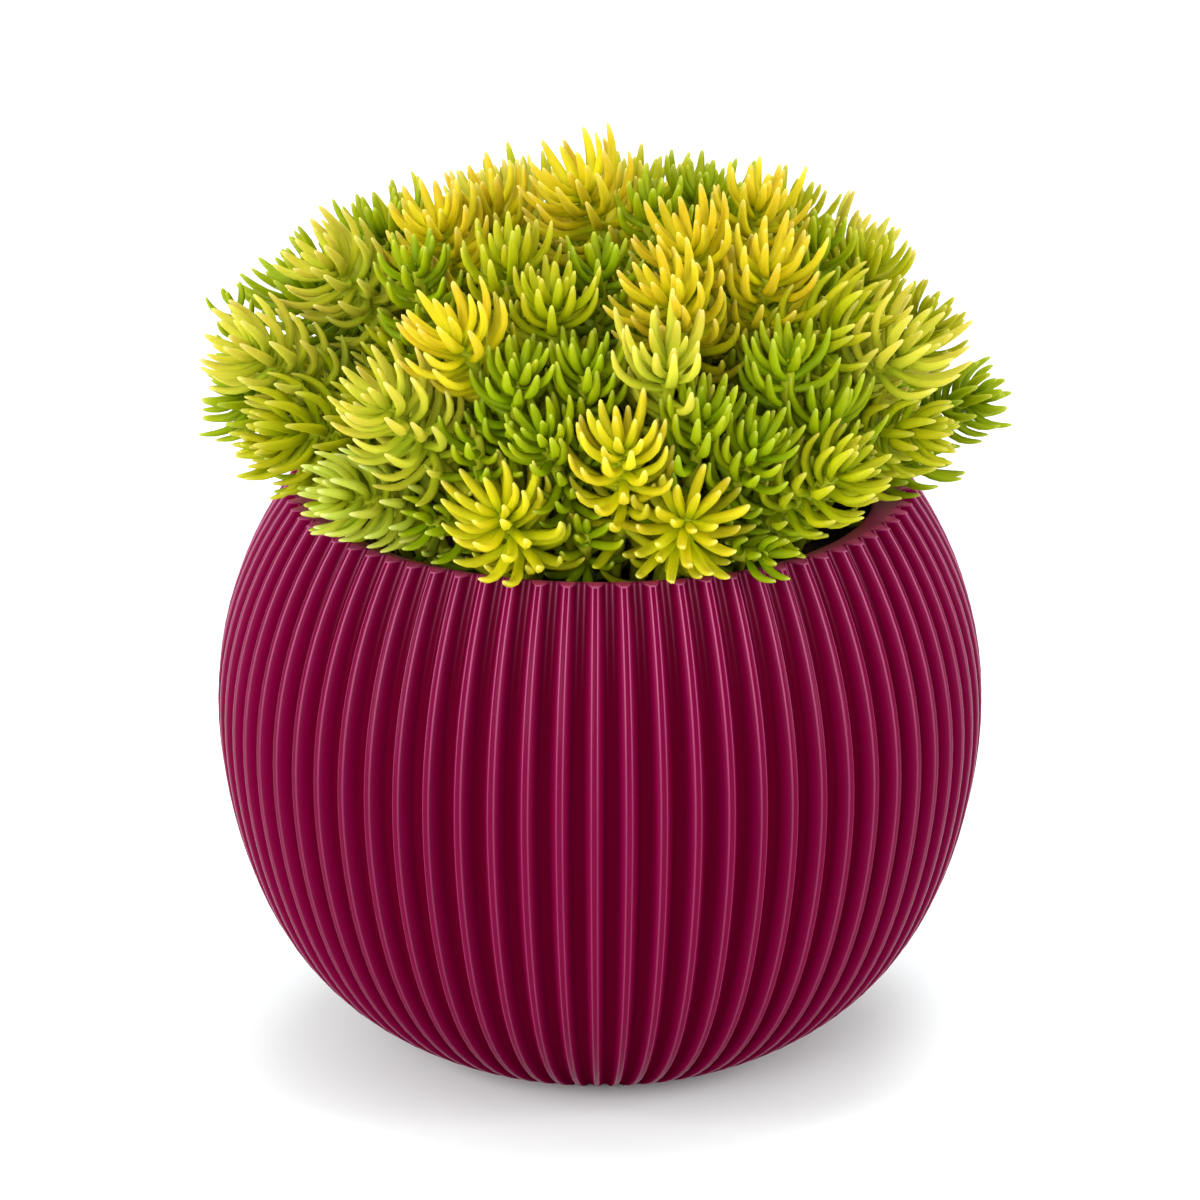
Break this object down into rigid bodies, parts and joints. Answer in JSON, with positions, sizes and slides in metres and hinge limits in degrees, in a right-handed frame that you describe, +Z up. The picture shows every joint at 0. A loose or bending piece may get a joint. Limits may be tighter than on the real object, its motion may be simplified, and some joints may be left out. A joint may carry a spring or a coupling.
{
  "type": "potted stonecrop",
  "caption": "Cushion of needle-leaved stonecrop shoots in golden, pale and green tones, standing in soil inside a globe-shaped pot with close vertical ribs.",
  "frame": {"origin": "centre of the pot's flat foot", "axes": "+Z up, -Y towards the side that the picture shows"},
  "size_m": [0.2058, 0.2074, 0.2499],
  "materials": {
    "pot": "satin",
    "soil": "rough",
    "leaf_golden": "satin",
    "leaf_pale": "satin",
    "leaf_lime": "satin",
    "leaf_green": "satin",
    "leaf_sage": "satin"
  },
  "bodies": {
    "root": {"pot": "pot", "soil": "soil", "shoot_01": "leaf_golden", "shoot_02": "leaf_golden", "shoot_03": "leaf_sage", "shoot_04": "leaf_lime", "shoot_05": "leaf_green", "shoot_06": "leaf_golden", "shoot_07": "leaf_green", "shoot_08": "leaf_lime", "shoot_09": "leaf_green", "shoot_10": "leaf_pale", "shoot_11": "leaf_green", "shoot_12": "leaf_green", "shoot_13": "leaf_lime", "shoot_14": "leaf_green", "shoot_15": "leaf_pale", "shoot_16": "leaf_green", "shoot_17": "leaf_green", "shoot_18": "leaf_green", "shoot_19": "leaf_pale", "shoot_20": "leaf_green", "shoot_21": "leaf_pale", "shoot_22": "leaf_golden", "shoot_23": "leaf_lime", "shoot_24": "leaf_lime", "shoot_25": "leaf_golden", "shoot_26": "leaf_lime", "shoot_27": "leaf_golden", "shoot_28": "leaf_pale", "shoot_29": "leaf_green", "shoot_30": "leaf_lime", "shoot_31": "leaf_golden", "shoot_32": "leaf_golden", "shoot_33": "leaf_golden", "shoot_34": "leaf_golden", "shoot_35": "leaf_golden", "shoot_36": "leaf_green", "shoot_37": "leaf_lime", "shoot_38": "leaf_lime", "shoot_39": "leaf_golden", "shoot_40": "leaf_lime", "shoot_41": "leaf_pale", "shoot_42": "leaf_green", "shoot_43": "leaf_lime", "shoot_44": "leaf_golden", "shoot_45": "leaf_lime", "shoot_46": "leaf_pale", "shoot_47": "leaf_green", "shoot_48": "leaf_lime", "shoot_49": "leaf_golden", "shoot_50": "leaf_lime", "shoot_51": "leaf_pale", "shoot_52": "leaf_green", "shoot_53": "leaf_lime", "shoot_54": "leaf_golden", "shoot_55": "leaf_lime", "shoot_56": "leaf_pale", "shoot_57": "leaf_green", "shoot_58": "leaf_lime"}
  },
  "joints": []
}
